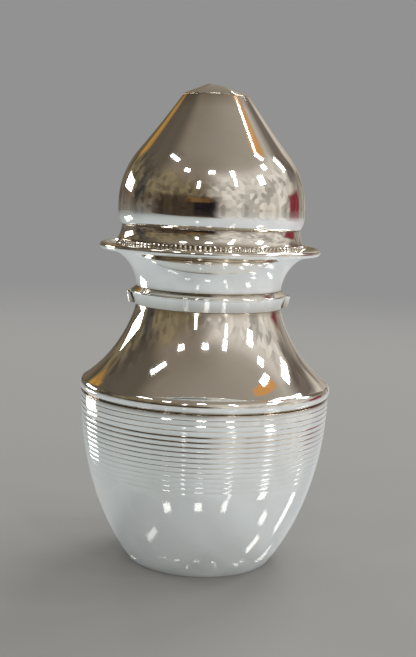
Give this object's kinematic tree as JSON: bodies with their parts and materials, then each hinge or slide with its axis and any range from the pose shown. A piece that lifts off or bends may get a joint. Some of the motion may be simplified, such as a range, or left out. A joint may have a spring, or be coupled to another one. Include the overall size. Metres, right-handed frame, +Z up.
{
  "type": "dappen dish",
  "caption": "Lidded metal dappen dish: grooved round pot with rolled shoulder and flanged neck, a lift-out glass well and a lift-off domed lid.",
  "frame": {"origin": "centre of the foot, on the surface the pot stands on", "axes": "+Z up along the pot's axis, +X through the open lug on the neck ring"},
  "size_m": [0.05, 0.05, 0.0947],
  "materials": {
    "silver_plate": "mirror polished",
    "clear_glass": "clear, polished",
    "brass": "turned, satin",
    "felt": "pressed wool felt",
    "silicone": "matte, translucent"
  },
  "bodies": {
    "pot": {"body_shell": "silver_plate", "base_pad": "felt", "shoulder": "silver_plate", "neck_ring": "silver_plate", "lug_right": "silver_plate", "lug_left": "silver_plate", "collar": "silver_plate"},
    "well": {"glass_well": "clear_glass"},
    "lid": {"gadroon_ring": "silver_plate", "lid_band": "silver_plate", "lid_dome": "silver_plate", "crown_cap": "silver_plate", "crown_washer": "brass", "crown_nut": "brass", "lid_plug": "silver_plate", "lid_seal": "silicone"}
  },
  "joints": [
    {"name": "well_lift", "type": "slide", "parent": "pot", "child": "well", "axis": [0, 0, 1], "range_m": [0, 0.045]},
    {"name": "lid_lift", "type": "slide", "parent": "well", "child": "lid", "axis": [0, 0, 1], "range_m": [0, 0.04]}
  ]
}
